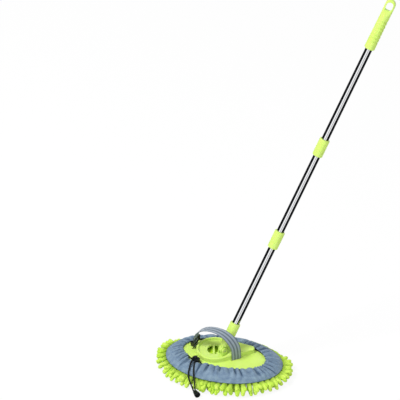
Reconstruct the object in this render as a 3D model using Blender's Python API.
"""Car wash brush: a chenille pad with its plate and strap, on a hinged three-section pole."""

import math

import bmesh
import bpy
import numpy as np
from mathutils import Matrix, Vector
from mathutils.geometry import delaunay_2d_cdt

# Fits and cuts
GAP = 0.0003  # clearance between pieces that touch
OVERRUN = 0.002  # how far a cutter runs past what it cuts
FILL_TOLERANCE = 0.000001  # below which two points of an outline are one
SEAM = 0.0005  # how far joined shapes run into each other

# Pile of chenille strands and its backing
CLOTH_LENGTH = 0.297
CLOTH_WIDTH = 0.189
PILE_HEIGHT = 0.022
BACKING_THICKNESS = 0.0025
STRAND_PITCH = 0.0121
STRAND_ROOT_WIDTH = 0.0078
STRAND_TIP_WIDTH = 0.0054
RIM_ROOT_INSET = 0.0062
RIM_REACH = 0.028  # how far a rim strand's tip stands out from its root
RIM_SHOULDER_SHARES = (0.62, 0.44)  # of the reach outwards and of the pile's height downwards
LEAN_SHARE = 0.66  # each ring of strands leans this share of the ring outside it
MIDDLE_ROW_SHARE = 0.6  # of the innermost ring's half length

# Foam core and cloth hem
FOAM_MARGIN = 0.0120  # inside the cloth's outer edge
FOAM_THICKNESS = 0.008
FOAM_ROUND = 0.0045
HEM_OPENING_SHARE = 0.708  # of the cloth's length and width
HEM_THICKNESS = 0.0012
HEM_RISE = 0.0150  # from the cloth's outer edge up to the opening
HEM_BULGE_POWER = 2.6
HEM_STATION_SHARES = (0.0, 0.14, 0.38, 0.72, 1.0)
HEM_GATHERS = 32
HEM_STEPS_PER_GATHER = 3
HEM_GATHER_HEIGHT = 0.0011
HEM_ROLL = 0.0022  # thickness of the rolled inner edge

# Plate and its raised boss
PLATE_COVER = 0.0115  # how far the plate runs on under the hem
PLATE_THICKNESS = 0.004
PLATE_ROUND = 0.0012
BOSS_CENTRE_SHARES = (-0.266, 0.150)  # of half the opening's length and width
BOSS_RADIUS_SHARE = 0.688  # of half the opening's width
BOSS_HEIGHT = 0.013
BOSS_ROUND = 0.0016
WING_CENTRE_SHARES = (0.570, 0.508)  # of half the opening's length and width
WING_RADIUS = 0.009
RECESS_RIM = 0.006  # between the recess and the boss's side
RECESS_DEPTH = 0.005
FLOOR_THICKNESS = 0.003
BOSS_WALL = 0.003
WINDOW_RADIUS_SHARE = 0.45  # of the recess
WINDOW_RIB_WIDTH = 0.005
WINDOW_RIB_TURN = math.radians(14.6)
WINDOW_RIB_SHIFT = -0.002

# Hinge between plate and neck
PIVOT_SHARE = -0.0333  # of half the opening's length
PIVOT_HEIGHT = 0.013  # of the pin above the recess floor
POLE_AZIMUTH = math.radians(47.3)
POLE_LEAN = math.radians(29.5)
LUG_THICKNESS = 0.004
LUG_RADIUS = 0.0082
TONGUE_WIDTH = 0.012
TONGUE_RADIUS = 0.0093
PIN_RADIUS = 0.002
PIN_HEAD_RADIUS = 0.0034
PIN_HEAD_THICKNESS = 0.0015
HINGE_BASE_LENGTH = 0.026
HINGE_BASE_MARGIN = 0.002

# Neck and pole, measured from the hinge pin along the pole
NECK_RADIUS = 0.0128
NECK_WAIST = 0.0098
NECK_FLARE_START = 0.0125
NECK_FLARE_END = 0.024
NECK_LENGTH = 0.031
STUB_RADIUS = 0.0084
STUB_LENGTH = 0.025
TUBE_RADIUS = 0.0095
TUBE_WALL = 0.0004
COUPLING_RADIUS = 0.0132
COUPLING_LENGTH = 0.047
COUPLING_ROUND = 0.0012
SOCKET_LENGTH = 0.045
LOWER_TUBE_SHOWN = 0.2205
MIDDLE_TUBE_SHOWN = 0.2205
UPPER_TUBE_SHOWN = 0.263
PLUG_RADIUS = 0.0081
PLUG_THREAD_LENGTH = 0.021
PLUG_SHANK_LENGTH = 0.018
SEAT_DEPTH = 0.022  # of a tube in its coupling

# Grip with its hanging loop
GRIP_LENGTH = 0.140
GRIP_BASE_RADIUS = 0.0137
GRIP_TOP_RADIUS = 0.0125
GRIP_BORE_DEPTH = 0.075
GRIP_SHOULDER = 0.040  # from the loop's top down to the round body
LOOP_WIDTH = 0.0262
LOOP_THICKNESS = 0.014
LOOP_HOLE_WIDTH = 0.017
LOOP_HOLE_LENGTH = 0.0224
LOOP_HOLE_TOP = 0.0072
LOOP_EDGE = 0.002
GRIP_ROLL = math.radians(-45.0)
GROOVE_COUNT = 7
GROOVE_PITCH = 0.0096
GROOVE_FIRST = 0.060  # from the loop's top
GROOVE_DEPTH = 0.0011
GROOVE_WIDTH = 0.0042
GROOVE_TURN = math.radians(-40.0)  # of the grooves' middle round the grip

# Hand strap and its slider
STRAP_LEFT_SHARE = 0.29  # of the space between the boss and the drawstring
STRAP_LEFT_AZIMUTH = math.radians(165.0)  # of the left foot round the boss
STRAP_RIGHT_CLEARANCE = 0.0031  # from the boss's straight side to the slot's middle
STRAP_RIGHT_SHARE = 0.457  # of the way along that side
STRAP_RISE = 0.0795  # of the arch above the plate
STRAP_BOW = 0.0140  # of the arch towards the front
STRAP_WIDTH = 0.0255
STRAP_THICKNESS = 0.0020
STRAP_SLOT_CLEARANCE = 0.0006
STRAP_LEAD = 0.003  # straight up out of the slot
STRAP_FOOT_THICKNESS = 0.0055
STRAP_FOOT_DEPTH = 0.0026
STRAP_STEPS = 28
# Places along the arch: shares of the way between the feet, of the rise and of the bow
STRAP_ROUTE_SHARES = (
    (0.000, 0.12, 0.06),
    (0.018, 0.37, 0.26),
    (0.096, 0.64, 0.48),
    (0.270, 0.875, 0.76),
    (0.490, 1.00, 0.96),
    (0.705, 0.99, 1.00),
    (0.880, 0.83, 0.82),
    (0.985, 0.52, 0.38),
    (1.000, 0.18, 0.06),
)
SLIDER_RAIL = 0.0026
SLIDER_LENGTH = 0.016
SLIDER_PLAY = 0.0009  # between the webbing and each bar
SLIDER_STEP_SHARE = 0.10  # of the steps along the strap

# Drawstring, cord lock and end bell
CORD_RADIUS = 0.0019
LOCK_SHARES = (-0.599, -0.598)  # of half the opening's length and width
LOCK_TURN = math.radians(-20.0)
LOCK_WIDTH = 0.019
LOCK_DEPTH = 0.012
LOCK_HEIGHT = 0.0125
LOCK_ROUND = 0.0022
LOCK_EXIT_SHARE = 0.62  # of the lock's height, where the cords leave
PLUNGER_RADIUS = 0.0042
PLUNGER_STANDS_OUT = 0.0042
PLUNGER_DEPTH = 0.0050
POCKET_FLOOR = 0.0016
SPRING_RADIUS = 0.0030
SPRING_WIRE = 0.0008
CORD_SPACING = 0.0085
DRAWSTRING_CLEAR = math.radians(12.0)  # left free each side of the lock
DRAWSTRING_POINTS = 26
DRAWSTRING_STEP = 0.0110
BELL_SHARE = -0.293  # of half the cloth's length
BELL_BEYOND = 0.0290  # in front of the cloth's edge
BELL_TURN = math.radians(-50.0)
BELL_NECK_RADIUS = 0.0056
BELL_MOUTH_RADIUS = 0.0076
BELL_LENGTH = 0.0165
BELL_HOLLOW = 0.004
BELL_WALL = 0.0016
BELL_CORD_SPACING = 0.0044

# Routes of the two free cord ends, between the lock's lead and the bell's lead:
# shares of half the cloth's length and width, the distance beyond its front edge and the height
LEFT_END_ROUTE = (
    (-0.4815, -0.5714, 0.0000, 0.0456),
    (-0.4822, -0.6561, 0.0000, 0.0438),
    (-0.4808, -0.7513, 0.0000, 0.0399),
    (-0.4781, -0.8677, 0.0000, 0.0335),
    (-0.4613, -0.9788, 0.0000, 0.0275),
    (-0.4141, -1.0000, 0.0095, 0.0205),
    (-0.3603, -1.0000, 0.0200, 0.0138),
)
RIGHT_END_ROUTE = (
    (-0.4249, -0.5979, 0.0000, 0.0459),
    (-0.4175, -0.6772, 0.0000, 0.0440),
    (-0.4040, -0.7725, 0.0000, 0.0408),
    (-0.3872, -0.8889, 0.0000, 0.0340),
    (-0.3636, -1.0000, 0.0000, 0.0275),
    (-0.3367, -1.0000, 0.0105, 0.0210),
    (-0.3165, -1.0000, 0.0175, 0.0155),
)

# Levels above the floor
PILE_TOP = PILE_HEIGHT + BACKING_THICKNESS
FOAM_BASE = PILE_TOP + GAP
FOAM_TOP = FOAM_BASE + FOAM_THICKNESS
PLATE_BASE = FOAM_TOP + GAP
PLATE_TOP = PLATE_BASE + PLATE_THICKNESS
BOSS_TOP = PLATE_TOP + BOSS_HEIGHT
RECESS_FLOOR = BOSS_TOP - RECESS_DEPTH
PIVOT_Z = RECESS_FLOOR + PIVOT_HEIGHT

# Outlines and places on the plate
FOAM_LENGTH = CLOTH_LENGTH - 2 * FOAM_MARGIN
FOAM_WIDTH = CLOTH_WIDTH - 2 * FOAM_MARGIN
HEM_OPENING_LENGTH = CLOTH_LENGTH * HEM_OPENING_SHARE
HEM_OPENING_WIDTH = CLOTH_WIDTH * HEM_OPENING_SHARE
PLATE_LENGTH = HEM_OPENING_LENGTH + 2 * PLATE_COVER
PLATE_WIDTH = HEM_OPENING_WIDTH + 2 * PLATE_COVER
BOSS_X = HEM_OPENING_LENGTH / 2 * BOSS_CENTRE_SHARES[0]
BOSS_Y = HEM_OPENING_WIDTH / 2 * BOSS_CENTRE_SHARES[1]
BOSS_RADIUS = HEM_OPENING_WIDTH / 2 * BOSS_RADIUS_SHARE
RECESS_RADIUS = BOSS_RADIUS - RECESS_RIM
WINDOW_RADIUS = RECESS_RADIUS * WINDOW_RADIUS_SHARE
WING_X = HEM_OPENING_LENGTH / 2 * WING_CENTRE_SHARES[0]
WING_Y = HEM_OPENING_WIDTH / 2 * WING_CENTRE_SHARES[1]
PIVOT_X = HEM_OPENING_LENGTH / 2 * PIVOT_SHARE
BOSS_RUN = math.hypot(WING_X - BOSS_X, WING_Y - BOSS_Y)
BOSS_MIDDLE = math.atan2(WING_Y - BOSS_Y, WING_X - BOSS_X)
BOSS_OPENING = math.acos((BOSS_RADIUS - WING_RADIUS) / BOSS_RUN)
BOSS_SIDE = BOSS_RUN * math.sin(BOSS_OPENING)
STRAP_RIGHT_TURN = BOSS_MIDDLE - BOSS_OPENING + math.pi / 2
STRAP_RIGHT_OUT = BOSS_RADIUS + STRAP_RIGHT_CLEARANCE
STRAP_RIGHT_ALONG = BOSS_SIDE * STRAP_RIGHT_SHARE
STRAP_SPACE = BOSS_X - BOSS_RADIUS + HEM_OPENING_LENGTH / 2 - 2 * CORD_RADIUS
STRAP_LEFT_OUT = BOSS_RADIUS + STRAP_SPACE * STRAP_LEFT_SHARE
STRAP_LEFT_X = BOSS_X + STRAP_LEFT_OUT * math.cos(STRAP_LEFT_AZIMUTH)
STRAP_LEFT_Y = BOSS_Y + STRAP_LEFT_OUT * math.sin(STRAP_LEFT_AZIMUTH)
STRAP_LEFT_TURN = STRAP_LEFT_AZIMUTH - math.pi / 2
STRAP_RIGHT_X = (
    BOSS_X
    + STRAP_RIGHT_OUT * math.sin(STRAP_RIGHT_TURN)
    + STRAP_RIGHT_ALONG * math.cos(STRAP_RIGHT_TURN)
)
STRAP_RIGHT_Y = (
    BOSS_Y
    - STRAP_RIGHT_OUT * math.cos(STRAP_RIGHT_TURN)
    + STRAP_RIGHT_ALONG * math.sin(STRAP_RIGHT_TURN)
)
LOCK_X = HEM_OPENING_LENGTH / 2 * LOCK_SHARES[0]
LOCK_Y = HEM_OPENING_WIDTH / 2 * LOCK_SHARES[1]
BELL_X = CLOTH_LENGTH / 2 * BELL_SHARE
BELL_Y = -CLOTH_WIDTH / 2 - BELL_BEYOND

# Places along the pole
SOCKET_START = NECK_LENGTH + GAP
SOCKET_STEP = NECK_LENGTH + STUB_LENGTH + GAP
LOWER_TUBE_START = SOCKET_STEP + GAP
LOWER_TUBE_END = SOCKET_START + SOCKET_LENGTH + LOWER_TUBE_SHOWN
LOWER_COUPLING_START = LOWER_TUBE_END + GAP
LOWER_COUPLING_END = LOWER_COUPLING_START + COUPLING_LENGTH
MIDDLE_TUBE_END = LOWER_COUPLING_END + MIDDLE_TUBE_SHOWN
UPPER_COUPLING_START = MIDDLE_TUBE_END + GAP
UPPER_COUPLING_END = UPPER_COUPLING_START + COUPLING_LENGTH
GRIP_START = UPPER_COUPLING_END + UPPER_TUBE_SHOWN

# Facets
ROUND_SEGMENTS = 24
SMALL_SEGMENTS = 12
PLATE_SEGMENTS = 64
BOSS_ARC_STEPS = 30
WING_ARC_STEPS = 10
SHARP_ANGLE = math.radians(35.0)
CORD_STEP = 0.0075  # between the points of a cord's tube
ROUTE_STEPS = 12


def finish(name, colour, roughness, metallic=0.0):
    """Make one material with a Principled surface."""
    made = bpy.data.materials.new(name)
    made.use_nodes = True
    surface = made.node_tree.nodes["Principled BSDF"]
    surface.inputs["Base Color"].default_value = (*colour, 1.0)
    surface.inputs["Roughness"].default_value = roughness
    surface.inputs["Metallic"].default_value = metallic
    return made


def add_object(name, shape, material=None, parent=None):
    """Turn a bmesh into a named object, shaded smooth with sharp edges kept."""
    bmesh.ops.recalc_face_normals(shape, faces=shape.faces)
    mesh = bpy.data.meshes.new(name)
    shape.to_mesh(mesh)
    shape.free()
    made = bpy.data.objects.new(name, mesh)
    bpy.context.scene.collection.objects.link(made)
    if material is not None:
        mesh.materials.append(material)
    mesh.shade_smooth()
    mesh.set_sharp_from_angle(angle=SHARP_ANGLE)
    made.parent = parent
    return made


def add_cutter(name, shape, parent=None):
    """A hidden guide that shapes another object."""
    made = add_object(name, shape, parent=parent)
    made.hide_render = True
    made.display_type = "WIRE"
    return made


def combine(target, tool, operation):
    """Add one exact Boolean to an object."""
    step = target.modifiers.new(f"{operation.lower()} {tool.name}", "BOOLEAN")
    step.operation = operation
    step.object = tool
    step.solver = "EXACT"


def add_empty(name, place, parent=None, turn=(0.0, 0.0, 0.0)):
    """An empty that carries a frame."""
    made = bpy.data.objects.new(name, None)
    made.location = place
    made.rotation_euler = turn
    made.parent = parent
    bpy.context.scene.collection.objects.link(made)
    return made


def bridge(shape, low, high):
    """Join two equal loops of vertices with a band of faces."""
    for index, corner in enumerate(low):
        after = (index + 1) % len(low)
        shape.faces.new((corner, low[after], high[after], high[index]))


def fill_with_holes(shape, outer, holes):
    """Fill a level outline with triangles, leaving the loops inside it open."""
    corners = list(outer)
    owners = [0] * len(outer)
    edges = [(index, (index + 1) % len(outer)) for index in range(len(outer))]
    for number, hole in enumerate(holes):
        start = len(corners)
        edges += [(start + index, start + (index + 1) % len(hole)) for index in range(len(hole))]
        corners += hole
        owners += [number + 1] * len(hole)
    plan = [corner.co.xy for corner in corners]
    found = delaunay_2d_cdt(plan, edges, [], 1, FILL_TOLERANCE, True)
    for face in found[2]:
        picked = [found[3][index][0] for index in face]
        if owners[picked[0]] == 0 or len({owners[index] for index in picked}) > 1:
            shape.faces.new([corners[index] for index in picked])


def skin_rings(rings, closed=False):
    """Bridge equal rings of points; end rings are capped, unless the last ring meets the first."""
    shape = bmesh.new()
    loops = [[shape.verts.new(point) for point in ring] for ring in rings]
    pairs = list(zip(loops, loops[1:]))
    if closed:
        pairs.append((loops[-1], loops[0]))
    else:
        shape.faces.new(list(reversed(loops[0])))
        shape.faces.new(loops[-1])
    for low, high in pairs:
        bridge(shape, low, high)
    return shape


def ellipse(semi_x, semi_y, z, count, centre_x=0.0, centre_y=0.0):
    """One level ring of points on an ellipse."""
    angles = [math.tau * index / count for index in range(count)]
    return [
        (centre_x + semi_x * math.cos(angle), centre_y + semi_y * math.sin(angle), z) for angle in angles
    ]


def turned(profile, count=ROUND_SEGMENTS, closed=False, centre_x=0.0, centre_y=0.0):
    """A solid of revolution about Z from (radius, height) pairs."""
    rings = [ellipse(radius, radius, z, count, centre_x, centre_y) for radius, z in profile]
    return skin_rings(rings, closed)


def tube_shape(outer, inner, low, high):
    """A plain tube about Z."""
    return turned(((outer, low), (outer, high), (inner, high), (inner, low)), closed=True)


def box_shape(size, place=Matrix.Identity(4)):
    """A box of the given sides, centred on a frame."""
    shape = bmesh.new()
    bmesh.ops.create_cube(shape, size=1.0, matrix=place @ Matrix.Diagonal((*size, 1.0)))
    return shape


def smooth_route(points, step):
    """Points at even steps along a curve through the given points."""
    places = [Vector(point) for point in points]
    places = [2 * places[0] - places[1], *places, 2 * places[-1] - places[-2]]
    dense = []
    for before, start, end, after in zip(places, places[1:], places[2:], places[3:]):
        for index in range(ROUTE_STEPS):
            t = index / ROUTE_STEPS
            pull = (end - before) * t + (2 * before - 5 * start + 4 * end - after) * t**2
            dense.append(start + (pull + (3 * start - before - 3 * end + after) * t**3) / 2)
    dense.append(places[-2])
    lengths = np.cumsum([0.0, *((b - a).length for a, b in zip(dense, dense[1:]))])
    marks = np.linspace(0.0, lengths[-1], max(2, round(lengths[-1] / step)) + 1)
    columns = [np.interp(marks, lengths, [place[axis] for place in dense]) for axis in range(3)]
    return [Vector(row) for row in zip(*columns)]


def add_cord(name, points, radius, material):
    """A round cord along its points, with filled ends."""
    curve = bpy.data.curves.new(name, "CURVE")
    curve.dimensions = "3D"
    curve.bevel_depth = radius
    curve.bevel_resolution = 2
    curve.use_fill_caps = True
    line = curve.splines.new("POLY")
    line.points.add(len(points) - 1)
    for slot, point in zip(line.points, points):
        slot.co = (*point, 1.0)
    line.use_smooth = True
    curve.materials.append(material)
    made = bpy.data.objects.new(name, curve)
    bpy.context.scene.collection.objects.link(made)
    return made


def strand_rings(root, outward, reach, rim):
    """The square sections of one strand, from its root in the backing to its tip."""
    side = Vector((-outward.y, outward.x, 0.0))
    foot = Vector((root.x, root.y, 0.0)) + outward * reach
    sections = [(root, outward, STRAND_ROOT_WIDTH)]
    if rim:
        out_share, down_share = RIM_SHOULDER_SHARES
        shoulder = root + outward * reach * out_share
        shoulder.z -= PILE_HEIGHT * down_share
        across = (foot - root).normalized().cross(side)
        across = across if across.dot(outward) > 0 else -across
        sections.append((shoulder, across, STRAND_ROOT_WIDTH))
    sections.append((foot, outward, STRAND_TIP_WIDTH))
    corners = ((1, 1), (-1, 1), (-1, -1), (1, -1))
    return [
        [centre + (across * a + side * b) * width / 2 for a, b in corners]
        for centre, across, width in sections
    ]


def strand_roots():
    """Root, outward direction, reach and place at the rim for every strand, ring by ring."""
    semi_x = CLOTH_LENGTH / 2 - RIM_ROOT_INSET
    semi_y = CLOTH_WIDTH / 2 - RIM_ROOT_INSET
    rings = int(semi_y / STRAND_PITCH)
    spacing = semi_y / rings
    reach = RIM_REACH
    for ring in range(rings):
        half_girth = math.pi * math.sqrt((semi_x**2 + semi_y**2) / 2)
        for root, outward in ring_places(semi_x, semi_y, 2 * round(half_girth / STRAND_PITCH)):
            yield root, outward, reach, ring == 0
        reach *= LEAN_SHARE
        semi_x -= spacing
        semi_y -= spacing
    each_side = int((semi_x + spacing) * MIDDLE_ROW_SHARE / STRAND_PITCH)
    for index in range(-each_side, each_side + 1):
        yield Vector((index * STRAND_PITCH, 0.0, PILE_HEIGHT)), Vector((1.0, 0.0, 0.0)), 0.0, False


def ring_places(semi_x, semi_y, count):
    """Points spaced evenly along an ellipse, with their outward directions."""
    angles = np.linspace(0.0, math.tau, PLATE_SEGMENTS * ROUTE_STEPS)
    xs = semi_x * np.cos(angles)
    ys = semi_y * np.sin(angles)
    lengths = np.concatenate([[0.0], np.cumsum(np.hypot(np.diff(xs), np.diff(ys)))])
    marks = np.arange(count) * lengths[-1] / count
    for angle in np.interp(marks, lengths, angles):
        place = Vector((semi_x * math.cos(angle), semi_y * math.sin(angle), PILE_HEIGHT))
        outward = Vector((semi_y * math.cos(angle), semi_x * math.sin(angle), 0.0)).normalized()
        yield place, outward


def build_pile(material):
    """Rings of strands under a slice of backing; the middle strand stands at the origin."""
    shape = bmesh.new()
    low, high = (
        [shape.verts.new(point) for point in ellipse(CLOTH_LENGTH / 2, CLOTH_WIDTH / 2, z, PLATE_SEGMENTS)]
        for z in (PILE_HEIGHT, PILE_TOP)
    )
    shape.faces.new(high)
    bridge(shape, low, high)
    roots = []
    for root, outward, reach, rim in strand_roots():
        rings = strand_rings(root, outward, reach, rim)
        loops = [[shape.verts.new(point) for point in ring] for ring in rings]
        for before, after in zip(loops, loops[1:]):
            bridge(shape, before, after)
        shape.faces.new(loops[-1])
        roots.append(loops[0])
    fill_with_holes(shape, low, roots)
    add_object("chenille_pile", shape, material)


def rounded_disc(length, width, base, top, edge_round):
    """An elliptical slab with its upper edge rounded."""
    bend = edge_round * (1 - math.sqrt(0.5))
    steps = ((0.0, base), (0.0, top - edge_round), (bend, top - bend), (edge_round, top))
    return skin_rings(
        [ellipse(length / 2 - inset, width / 2 - inset, z, PLATE_SEGMENTS) for inset, z in steps]
    )


def strap_feet():
    """The two slots' centres on the plate, each with the direction of its webbing's width."""
    for x, y, turn in (
        (STRAP_LEFT_X, STRAP_LEFT_Y, STRAP_LEFT_TURN),
        (STRAP_RIGHT_X, STRAP_RIGHT_Y, STRAP_RIGHT_TURN),
    ):
        yield Matrix.Translation((x, y, PLATE_BASE)) @ Matrix.Rotation(turn, 4, "Z")


def build_foam(material):
    """The foam slab, with a pocket for each foot of the strap."""
    foam = add_object(
        "foam_core", rounded_disc(FOAM_LENGTH, FOAM_WIDTH, FOAM_BASE, FOAM_TOP, FOAM_ROUND), material
    )
    depth = STRAP_FOOT_DEPTH + 2 * GAP
    size = (STRAP_WIDTH + 4 * GAP, STRAP_FOOT_THICKNESS + 4 * GAP, depth + OVERRUN)
    for index, frame in enumerate(strap_feet()):
        place = frame @ Matrix.Translation((0.0, 0.0, (OVERRUN - depth) / 2 - GAP))
        combine(foam, add_cutter(f"foot_pocket_{index + 1}", box_shape(size, place)), "DIFFERENCE")


def hem_section(angle):
    """The hem's closed section at one angle: up its outer face, round the roll and back below."""
    gather = math.sin(HEM_GATHERS * angle)
    base = PILE_TOP + GAP
    upper = []
    lower = []
    for share in HEM_STATION_SHARES:
        semi_x = CLOTH_LENGTH / 2 + (HEM_OPENING_LENGTH - CLOTH_LENGTH) / 2 * share
        semi_y = CLOTH_WIDTH / 2 + (HEM_OPENING_WIDTH - CLOTH_WIDTH) / 2 * share
        lift = HEM_RISE * (1 - (1 - share) ** HEM_BULGE_POWER)
        level = base + lift + HEM_GATHER_HEIGHT * gather * share**2
        thickness = HEM_ROLL if share == HEM_STATION_SHARES[-1] else HEM_THICKNESS
        place = (semi_x * math.cos(angle), semi_y * math.sin(angle))
        upper.append((*place, level + thickness))
        lower.append((*place, level))
    return upper + list(reversed(lower))


def build_hem(material):
    """The gathered cloth band between the pile's edge and the plate's opening."""
    count = HEM_GATHERS * HEM_STEPS_PER_GATHER
    rings = [hem_section(math.tau * index / count) for index in range(count)]
    add_object("hem_skirt", skin_rings(rings, closed=True), material)


def boss_outline(inset, z):
    """The keyhole outline round the recess and out to the wing, drawn in by an inset."""
    large = Vector((BOSS_X, BOSS_Y))
    small = Vector((WING_X, WING_Y))
    points = []
    for index in range(BOSS_ARC_STEPS + 1):
        angle = BOSS_MIDDLE + BOSS_OPENING + (math.tau - 2 * BOSS_OPENING) * index / BOSS_ARC_STEPS
        place = large + (BOSS_RADIUS - inset) * Vector((math.cos(angle), math.sin(angle)))
        points.append((*place, z))
    for index in range(WING_ARC_STEPS + 1):
        angle = BOSS_MIDDLE - BOSS_OPENING + 2 * BOSS_OPENING * index / WING_ARC_STEPS
        place = small + (WING_RADIUS - inset) * Vector((math.cos(angle), math.sin(angle)))
        points.append((*place, z))
    return points


def build_plate(material):
    """The plate: rim, boss, recess with its window, hinge lugs and strap slots in one moulding."""
    plate = add_object(
        "head_plate",
        rounded_disc(PLATE_LENGTH, PLATE_WIDTH, PLATE_BASE, PLATE_TOP, PLATE_ROUND),
        material,
    )
    steps = ((0.0, PLATE_BASE + SEAM), (0.0, BOSS_TOP - BOSS_ROUND), (BOSS_ROUND, BOSS_TOP))
    boss = skin_rings([boss_outline(inset, z) for inset, z in steps])
    combine(plate, add_cutter("boss_guide", boss), "UNION")
    ceiling = RECESS_FLOOR - FLOOR_THICKNESS
    hollow = skin_rings([boss_outline(BOSS_WALL, z) for z in (PLATE_BASE - OVERRUN, ceiling)])
    combine(plate, add_cutter("boss_hollow", hollow), "DIFFERENCE")
    for name, radius, low in (
        ("recess_cutter", RECESS_RADIUS, RECESS_FLOOR),
        ("window_cutter", WINDOW_RADIUS, ceiling - OVERRUN),
    ):
        cutter = turned(
            ((radius, low), (radius, BOSS_TOP + OVERRUN)), 2 * ROUND_SEGMENTS, False, BOSS_X, BOSS_Y
        )
        combine(plate, add_cutter(name, cutter), "DIFFERENCE")
    floor_middle = (RECESS_FLOOR + ceiling) / 2
    rib_place = Matrix.Translation((BOSS_X + WINDOW_RIB_SHIFT, BOSS_Y, floor_middle))
    rib_size = (WINDOW_RIB_WIDTH, 2 * WINDOW_RADIUS + 2 * SEAM, FLOOR_THICKNESS - 2 * SEAM)
    rib = box_shape(rib_size, rib_place @ Matrix.Rotation(WINDOW_RIB_TURN, 4, "Z"))
    combine(plate, add_cutter("window_rib_guide", rib), "UNION")
    hinge = Matrix.Translation((PIVOT_X, 0.0, 0.0)) @ Matrix.Rotation(POLE_AZIMUTH, 4, "Z")
    lug_outer = TONGUE_WIDTH / 2 + GAP + LUG_THICKNESS
    base_size = (HINGE_BASE_LENGTH, 2 * lug_outer + 2 * HINGE_BASE_MARGIN, FLOOR_THICKNESS - SEAM)
    base = box_shape(base_size, hinge @ Matrix.Translation((0.0, 0.0, floor_middle)))
    combine(plate, add_cutter("hinge_base_guide", base), "UNION")
    for index, side in enumerate((-1, 1)):
        middle = side * (lug_outer - LUG_THICKNESS / 2)
        combine(plate, add_cutter(f"lug_guide_{index + 1}", lug_shape(hinge, middle)), "UNION")
    reach = lug_outer + OVERRUN
    bore = turned(((PIN_RADIUS + GAP, -reach), (PIN_RADIUS + GAP, reach)), SMALL_SEGMENTS)
    bmesh.ops.transform(bore, matrix=pin_frame(), verts=bore.verts)
    combine(plate, add_cutter("pin_bore_cutter", bore), "DIFFERENCE")
    slot_size = (
        STRAP_WIDTH + 2 * STRAP_SLOT_CLEARANCE,
        STRAP_THICKNESS + 2 * STRAP_SLOT_CLEARANCE,
        PLATE_THICKNESS + 2 * OVERRUN,
    )
    for index, frame in enumerate(strap_feet()):
        place = frame @ Matrix.Translation((0.0, 0.0, PLATE_THICKNESS / 2))
        combine(plate, add_cutter(f"strap_slot_{index + 1}", box_shape(slot_size, place)), "DIFFERENCE")


def lug_shape(hinge, middle):
    """One hinge lug: a flat tab with a round top, standing on the hinge base."""
    low = RECESS_FLOOR - 2 * SEAM
    rings = []
    for y in (middle - LUG_THICKNESS / 2, middle + LUG_THICKNESS / 2):
        ring = [Vector((LUG_RADIUS, y, low)), Vector((-LUG_RADIUS, y, low))]
        for index in range(SMALL_SEGMENTS + 1):
            angle = math.pi - math.pi * index / SMALL_SEGMENTS
            x = LUG_RADIUS * math.cos(angle)
            ring.append(Vector((x, y, PIVOT_Z + LUG_RADIUS * math.sin(angle))))
        rings.append([hinge @ point for point in ring])
    return skin_rings(rings)


def pin_frame():
    """The frame of the hinge pin, with Z along it."""
    turn = Matrix.Rotation(POLE_AZIMUTH, 4, "Z") @ Matrix.Rotation(-math.pi / 2, 4, "X")
    return Matrix.Translation((PIVOT_X, 0.0, PIVOT_Z)) @ turn


def build_pin(material):
    """The headed hinge pin through both lugs and the neck's tongue."""
    reach = TONGUE_WIDTH / 2 + GAP + LUG_THICKNESS
    seat = reach + GAP
    profile = (
        (PIN_RADIUS, -reach),
        (PIN_RADIUS, seat),
        (PIN_HEAD_RADIUS, seat),
        (PIN_HEAD_RADIUS, seat + PIN_HEAD_THICKNESS),
    )
    pin = add_object("hinge_pin", turned(profile, SMALL_SEGMENTS), material)
    pin.matrix_world = pin_frame()


def strap_curve():
    """The strap's middle line: up through one slot, over the arch and down through the other."""
    left = Vector((STRAP_LEFT_X, STRAP_LEFT_Y, 0.0))
    right = Vector((STRAP_RIGHT_X, STRAP_RIGHT_Y, 0.0))
    span = right - left
    front = Vector((span.y, -span.x, 0.0)).normalized()
    points = []
    for along, rise, bow in STRAP_ROUTE_SHARES:
        place = left + span * along + front * STRAP_BOW * bow
        place.z = PLATE_TOP + STRAP_RISE * rise
        points.append(place)
    ends = [Vector((foot.x, foot.y, PLATE_BASE - GAP - STRAP_FOOT_DEPTH)) for foot in (left, right)]
    slots = [Vector((foot.x, foot.y, PLATE_TOP + STRAP_LEAD)) for foot in (left, right)]
    rough = [slots[0], *points, slots[1]]
    length = sum((b - a).length for a, b in zip(rough, rough[1:]))
    return [ends[0], *smooth_route(rough, length / STRAP_STEPS), ends[1]]


def strap_frames():
    """Frames along the strap: X across the webbing, Y along it, Z out of its upper face."""
    places = strap_curve()
    last = len(places) - 1
    for index, place in enumerate(places):
        if index in (0, last):
            along = Vector((0.0, 0.0, 1.0 if index == 0 else -1.0))
        else:
            along = (places[index + 1] - places[index - 1]).normalized()
        share = index / last
        blend = share * share * (3 - 2 * share)
        turn = STRAP_LEFT_TURN + (STRAP_RIGHT_TURN - STRAP_LEFT_TURN) * blend
        across = Vector((math.cos(turn), math.sin(turn), 0.0))
        across = (across - along * across.dot(along)).normalized()
        face = along.cross(across)
        frame = Matrix((across, along, face)).transposed().to_4x4()
        yield Matrix.Translation(place) @ frame


def build_strap(material):
    """The webbing hand strap, with a stitched foot under the plate at each end."""
    half_width = STRAP_WIDTH / 2
    half_thickness = STRAP_THICKNESS / 2
    corners = ((1, 1), (-1, 1), (-1, -1), (1, -1))
    rings = [
        [frame @ Vector((half_width * a, 0.0, half_thickness * b)) for a, b in corners]
        for frame in strap_frames()
    ]
    strap = add_object("hand_strap", skin_rings(rings), material)
    size = (STRAP_WIDTH - 2 * SEAM, STRAP_FOOT_THICKNESS, STRAP_FOOT_DEPTH)
    for index, frame in enumerate(strap_feet()):
        place = frame @ Matrix.Translation((0.0, 0.0, -GAP - STRAP_FOOT_DEPTH / 2))
        combine(strap, add_cutter(f"strap_foot_{index + 1}", box_shape(size, place)), "UNION")


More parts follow.
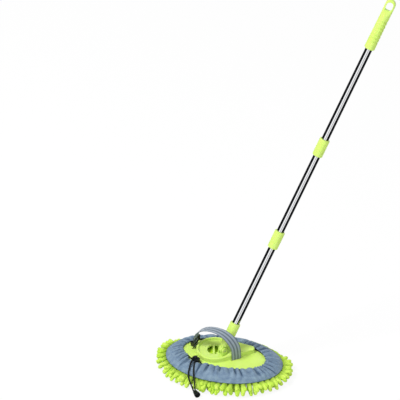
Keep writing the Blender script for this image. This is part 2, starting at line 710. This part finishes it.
def build_slider(material):
    """The slider on the strap: two rails, two bars inside the webbing and one outside it."""
    frames = list(strap_frames())
    frame = frames[round(len(frames) * SLIDER_STEP_SHARE)]
    bar_height = STRAP_THICKNESS / 2 + SLIDER_PLAY + SLIDER_RAIL / 2
    rail_place = STRAP_WIDTH / 2 + SLIDER_PLAY + SLIDER_RAIL / 2
    rail_size = (SLIDER_RAIL, SLIDER_LENGTH, 2 * bar_height + SLIDER_RAIL)
    bar_size = (2 * rail_place, SLIDER_RAIL, SLIDER_RAIL - 2 * SEAM)
    slider = add_object(
        "strap_slider", box_shape(rail_size, frame @ Matrix.Translation((rail_place, 0.0, 0.0))), material
    )
    far = box_shape(rail_size, frame @ Matrix.Translation((-rail_place, 0.0, 0.0)))
    bar_end = (SLIDER_LENGTH - SLIDER_RAIL) / 2 - SEAM
    bars = ((bar_end, -bar_height), (-bar_end, -bar_height), (0.0, bar_height))
    for index, (along, out) in enumerate(bars):
        place = frame @ Matrix.Translation((0.0, along, out))
        combine(slider, add_cutter(f"slider_bar_{index + 1}", box_shape(bar_size, place)), "UNION")
    combine(slider, add_cutter("slider_rail_guide", far), "UNION")


def lock_frame():
    """The cord lock's frame on the plate: X across it, -Y out of its front."""
    return Matrix.Translation((LOCK_X, LOCK_Y, PLATE_TOP + GAP)) @ Matrix.Rotation(LOCK_TURN, 4, "Z")


def build_cord_lock(body_material, spring_material):
    """The cord lock: its body, the sprung plunger on top and the spring below it."""
    frame = lock_frame()
    body = add_object(
        "cord_lock_body",
        box_shape(
            (LOCK_WIDTH, LOCK_DEPTH, LOCK_HEIGHT), Matrix.Translation((0.0, 0.0, LOCK_HEIGHT / 2))
        ),
        body_material,
    )
    body.matrix_world = frame
    bevel = body.modifiers.new("rounded edges", "BEVEL")
    bevel.width = LOCK_ROUND
    bevel.segments = 2
    pocket = turned(
        ((PLUNGER_RADIUS + GAP, POCKET_FLOOR), (PLUNGER_RADIUS + GAP, LOCK_HEIGHT + OVERRUN)),
        ROUND_SEGMENTS,
    )
    pocket_guide = add_cutter("plunger_pocket", pocket)
    pocket_guide.matrix_world = frame
    combine(body, pocket_guide, "DIFFERENCE")
    top = LOCK_HEIGHT + PLUNGER_STANDS_OUT
    bottom = LOCK_HEIGHT - PLUNGER_DEPTH
    edge = PLUNGER_RADIUS / 4
    plunger = add_object(
        "cord_lock_plunger",
        turned(
            (
                (PLUNGER_RADIUS, bottom),
                (PLUNGER_RADIUS, top - edge),
                (PLUNGER_RADIUS - edge, top),
            )
        ),
        body_material,
    )
    plunger.matrix_world = frame
    spring = add_object(
        "cord_lock_spring",
        tube_shape(SPRING_RADIUS, SPRING_RADIUS - SPRING_WIRE, POCKET_FLOOR + GAP, bottom - GAP),
        spring_material,
    )
    spring.matrix_world = frame


def build_drawstring(material):
    """The drawstring inside the hem's edge, from one side of the lock round to the other."""
    semi_x = HEM_OPENING_LENGTH / 2 - CORD_RADIUS - 2 * GAP
    semi_y = HEM_OPENING_WIDTH / 2 - CORD_RADIUS - 2 * GAP
    level = PLATE_TOP + GAP + CORD_RADIUS
    frame = lock_frame()
    lead = LOCK_WIDTH / 2 + GAP
    start = frame @ Vector((lead, 0.0, GAP + CORD_RADIUS + LOCK_ROUND))
    end = frame @ Vector((-lead, 0.0, GAP + CORD_RADIUS + LOCK_ROUND))
    start_lead = frame @ Vector((lead + 2 * CORD_RADIUS, 0.0, GAP + CORD_RADIUS + LOCK_ROUND))
    end_lead = frame @ Vector((-lead - 2 * CORD_RADIUS, 0.0, GAP + CORD_RADIUS + LOCK_ROUND))
    first = math.atan2(start.y / semi_y, start.x / semi_x) + DRAWSTRING_CLEAR
    last = math.atan2(end.y / semi_y, end.x / semi_x) - DRAWSTRING_CLEAR
    if last < first:
        last += math.tau
    round_points = [
        (semi_x * math.cos(angle), semi_y * math.sin(angle), level)
        for angle in np.linspace(first, last, DRAWSTRING_POINTS)
    ]
    held = smooth_route([start_lead, *round_points, end_lead], DRAWSTRING_STEP)
    add_cord("hem_drawstring", [start, *held, end], CORD_RADIUS, material)


def bell_frame():
    """The end bell's frame: Z along it, from the cords' side to its mouth."""
    turn = Matrix.Rotation(BELL_TURN, 4, "Z") @ Matrix.Rotation(math.pi / 2, 4, "Y")
    return Matrix.Translation((BELL_X, BELL_Y, BELL_MOUTH_RADIUS + GAP)) @ turn


def build_cord_ends(material, bell_material):
    """The two free cord ends from the lock to the bell that joins them."""
    lock = lock_frame()
    bell = bell_frame()
    lead = 2 * CORD_RADIUS
    exit_height = LOCK_HEIGHT * LOCK_EXIT_SHARE
    front = -LOCK_DEPTH / 2 - GAP
    for name, side, route in (
        ("drawstring_end_left", -1, LEFT_END_ROUTE),
        ("drawstring_end_right", 1, RIGHT_END_ROUTE),
    ):
        apart = side * CORD_SPACING / 2
        leave = [lock @ Vector((apart, front - step, exit_height)) for step in (0.0, lead)]
        spread = side * BELL_CORD_SPACING / 2
        arrive = [bell @ Vector((0.0, spread, -GAP - step)) for step in (lead, 0.0)]
        places = [
            (CLOTH_LENGTH / 2 * along, CLOTH_WIDTH / 2 * across - beyond, height)
            for along, across, beyond, height in route
        ]
        free = smooth_route([leave[1], *places, arrive[0]], CORD_STEP)
        add_cord(name, [leave[0], *free, arrive[1]], CORD_RADIUS, material)
    throat = BELL_LENGTH / 3
    rim = BELL_WALL / 2
    profile = (
        (BELL_MOUTH_RADIUS - BELL_WALL - rim, BELL_LENGTH - BELL_HOLLOW),
        (BELL_MOUTH_RADIUS - BELL_WALL, BELL_LENGTH),
        (BELL_MOUTH_RADIUS, BELL_LENGTH),
        (BELL_MOUTH_RADIUS, BELL_LENGTH - throat),
        (BELL_NECK_RADIUS + rim, throat),
        (BELL_NECK_RADIUS + rim, rim),
        (BELL_NECK_RADIUS, 0.0),
    )
    made = add_object("cord_end_bell", turned(profile), bell_material)
    made.matrix_world = bell


def build_neck(material, parent):
    """The neck: a tongue on the pin, a flaring body and the stub that the pole goes on."""
    body = turned(
        (
            (NECK_WAIST - 2 * SEAM, TONGUE_RADIUS),
            (NECK_WAIST, NECK_FLARE_START),
            (NECK_RADIUS, NECK_FLARE_END),
            (NECK_RADIUS, NECK_LENGTH),
            (STUB_RADIUS, NECK_LENGTH),
            (STUB_RADIUS, NECK_LENGTH + STUB_LENGTH - 2 * SEAM),
            (STUB_RADIUS - 2 * SEAM, NECK_LENGTH + STUB_LENGTH),
        )
    )
    neck = add_object("neck", body, material, parent)
    rings = []
    for y in (-TONGUE_WIDTH / 2, TONGUE_WIDTH / 2):
        ring = [Vector((TONGUE_RADIUS, y, NECK_FLARE_START)), Vector((-TONGUE_RADIUS, y, NECK_FLARE_START))]
        for index in range(SMALL_SEGMENTS + 1):
            angle = math.pi + math.pi * index / SMALL_SEGMENTS
            ring.append(Vector((TONGUE_RADIUS * math.cos(angle), y, TONGUE_RADIUS * math.sin(angle))))
        rings.append(ring)
    combine(neck, add_cutter("tongue_guide", skin_rings(rings), parent), "UNION")
    reach = TONGUE_WIDTH / 2 + OVERRUN
    bore = turned(((PIN_RADIUS + GAP, -reach), (PIN_RADIUS + GAP, reach)), SMALL_SEGMENTS)
    bmesh.ops.rotate(bore, matrix=Matrix.Rotation(-math.pi / 2, 3, "X"), verts=bore.verts)
    combine(neck, add_cutter("tongue_bore_cutter", bore, parent), "DIFFERENCE")


def build_coupling(name, start, bore_low, length, step, material, parent):
    """A turned sleeve: a narrow bore up to a step, then the bore that seats a tube."""
    end = start + length
    bore_high = TUBE_RADIUS + GAP
    profile = (
        (bore_low, start),
        (COUPLING_RADIUS - COUPLING_ROUND, start),
        (COUPLING_RADIUS, start + COUPLING_ROUND),
        (COUPLING_RADIUS, end - COUPLING_ROUND),
        (COUPLING_RADIUS - COUPLING_ROUND, end),
        (bore_high, end),
        (bore_high, step),
        (bore_low, step),
    )
    add_object(name, turned(profile, closed=True), material, parent)


def build_plug(name, tube_end, material, parent):
    """The threaded plug in a tube's upper end."""
    shank = TUBE_RADIUS - TUBE_WALL - GAP
    chamfer = PLUG_RADIUS / 8
    profile = (
        (shank, tube_end - PLUG_SHANK_LENGTH),
        (shank, tube_end + GAP),
        (PLUG_RADIUS, tube_end + GAP),
        (PLUG_RADIUS, tube_end + PLUG_THREAD_LENGTH - chamfer),
        (PLUG_RADIUS - chamfer, tube_end + PLUG_THREAD_LENGTH),
    )
    add_object(name, turned(profile), material, parent)


def build_section(names, coupling, tube_span, plug, materials, parent):
    """One pole section: its sleeve, its tube and, where it has one, its threaded plug."""
    plastic, chrome = materials
    start, length, bore, step = coupling
    build_coupling(names[0], start, bore, length, step, plastic, parent)
    low, high = tube_span
    inner = TUBE_RADIUS - TUBE_WALL
    add_object(names[1], tube_shape(TUBE_RADIUS, inner, low, high), chrome, parent)
    if plug:
        build_plug(names[2], high, plastic, parent)


def grip_rings():
    """The grip's round body, with finger grooves across its front half."""
    body_top = GRIP_LENGTH - GRIP_SHOULDER
    marks = {0.0, body_top}
    for index in range(GROOVE_COUNT):
        centre = GRIP_LENGTH - GROOVE_FIRST - GROOVE_PITCH * index
        marks.update((centre - GROOVE_WIDTH / 2, centre, centre + GROOVE_WIDTH / 2))
    for height in sorted(marks):
        share = height / GRIP_LENGTH
        radius = GRIP_BASE_RADIUS + (GRIP_TOP_RADIUS - GRIP_BASE_RADIUS) * share
        offset = (GRIP_LENGTH - GROOVE_FIRST - height) / GROOVE_PITCH
        near = abs(offset - round(offset)) * GROOVE_PITCH < GROOVE_WIDTH / 4
        in_row = -GROOVE_WIDTH < offset * GROOVE_PITCH < GROOVE_PITCH * GROOVE_COUNT - GROOVE_WIDTH
        ring = []
        for index in range(ROUND_SEGMENTS):
            angle = math.tau * index / ROUND_SEGMENTS
            front = max(0.0, math.cos(angle - GROOVE_TURN))
            dip = GROOVE_DEPTH * min(1.0, 2 * front) if near and in_row else 0.0
            ring.append(((radius - dip) * math.cos(angle), (radius - dip) * math.sin(angle), height))
        yield ring


def loop_outline(width, length, y, top, corner):
    """A flat-based outline with a round head, in the grip's XZ plane."""
    half = width / 2
    points = [Vector((-half, y, top - length + corner)), Vector((-half + corner, y, top - length))]
    points += [Vector((half - corner, y, top - length)), Vector((half, y, top - length + corner))]
    for index in range(SMALL_SEGMENTS + 1):
        angle = math.pi * index / SMALL_SEGMENTS
        points.append(Vector((half * math.cos(angle), y, top - half + half * math.sin(angle))))
    return points


def build_grip(material, parent):
    """The grip: a bored round body that runs into a flat hanging loop."""
    frame = add_empty("grip_frame", (0.0, 0.0, GRIP_START), parent, (0.0, 0.0, GRIP_ROLL))
    grip = add_object("grip", skin_rings(list(grip_rings())), material, frame)
    half = LOOP_THICKNESS / 2
    length = GRIP_SHOULDER + OVERRUN
    stations = ((LOOP_EDGE, -half), (0.0, -half + LOOP_EDGE), (0.0, half - LOOP_EDGE), (LOOP_EDGE, half))
    loop = skin_rings(
        [
            loop_outline(LOOP_WIDTH - 2 * inset, length - inset, y, GRIP_LENGTH - inset, LOOP_EDGE)
            for inset, y in stations
        ]
    )
    combine(grip, add_cutter("loop_guide", loop, frame), "UNION")
    top = GRIP_LENGTH - LOOP_HOLE_TOP
    hole = skin_rings(
        [
            loop_outline(LOOP_HOLE_WIDTH, LOOP_HOLE_LENGTH, y, top, LOOP_EDGE)
            for y in (-half - OVERRUN, half + OVERRUN)
        ]
    )
    combine(grip, add_cutter("loop_hole_cutter", hole, frame), "DIFFERENCE")
    bore = turned(((TUBE_RADIUS + GAP, -OVERRUN), (TUBE_RADIUS + GAP, GRIP_BORE_DEPTH)))
    combine(grip, add_cutter("grip_bore_cutter", bore, frame), "DIFFERENCE")


def build():
    """Make the whole brush."""
    for old in list(bpy.data.objects):
        bpy.data.objects.remove(old, do_unlink=True)
    lime = finish("lime_plastic", (0.50, 0.85, 0.06), 0.38)
    chenille = finish("lime_chenille", (0.45, 0.82, 0.03), 0.95)
    cloth = finish("blue_grey_cloth", (0.19, 0.25, 0.33), 0.9)
    foam = finish("green_foam", (0.24, 0.40, 0.04), 0.95)
    webbing = finish("grey_webbing", (0.13, 0.16, 0.19), 0.8)
    black = finish("black_plastic", (0.01, 0.01, 0.012), 0.4)
    cord = finish("black_cord", (0.008, 0.008, 0.009), 0.8)
    chrome = finish("chromed_steel", (0.75, 0.76, 0.78), 0.08, 1.0)
    steel = finish("steel", (0.55, 0.55, 0.56), 0.35, 1.0)
    build_pile(chenille)
    build_foam(foam)
    build_hem(cloth)
    build_plate(lime)
    build_pin(steel)
    build_strap(webbing)
    build_slider(black)
    build_cord_lock(black, steel)
    build_drawstring(cord)
    build_cord_ends(cord, black)
    axis = add_empty("tilt_axis", (PIVOT_X, 0.0, PIVOT_Z), None, (0.0, POLE_LEAN, POLE_AZIMUTH))
    build_neck(lime, axis)
    lower = add_empty("lower_section", (0.0, 0.0, 0.0), axis)
    middle = add_empty("middle_section", (0.0, 0.0, 0.0), lower)
    upper = add_empty("upper_section", (0.0, 0.0, 0.0), middle)
    finishes = (lime, chrome)
    build_section(
        ("pole_socket", "lower_tube", "lower_thread_plug"),
        (SOCKET_START, SOCKET_LENGTH, STUB_RADIUS + GAP, SOCKET_STEP),
        (LOWER_TUBE_START, LOWER_TUBE_END),
        True,
        finishes,
        lower,
    )
    middle_seat = LOWER_COUPLING_END - SEAT_DEPTH
    build_section(
        ("lower_coupling", "middle_tube", "middle_thread_plug"),
        (LOWER_COUPLING_START, COUPLING_LENGTH, PLUG_RADIUS + GAP, middle_seat),
        (middle_seat + GAP, MIDDLE_TUBE_END),
        True,
        finishes,
        middle,
    )
    upper_seat = UPPER_COUPLING_END - SEAT_DEPTH
    build_section(
        ("upper_coupling", "upper_tube"),
        (UPPER_COUPLING_START, COUPLING_LENGTH, PLUG_RADIUS + GAP, upper_seat),
        (upper_seat + GAP, GRIP_START + GRIP_BORE_DEPTH - GAP),
        False,
        finishes,
        upper,
    )
    build_grip(lime, upper)


build()
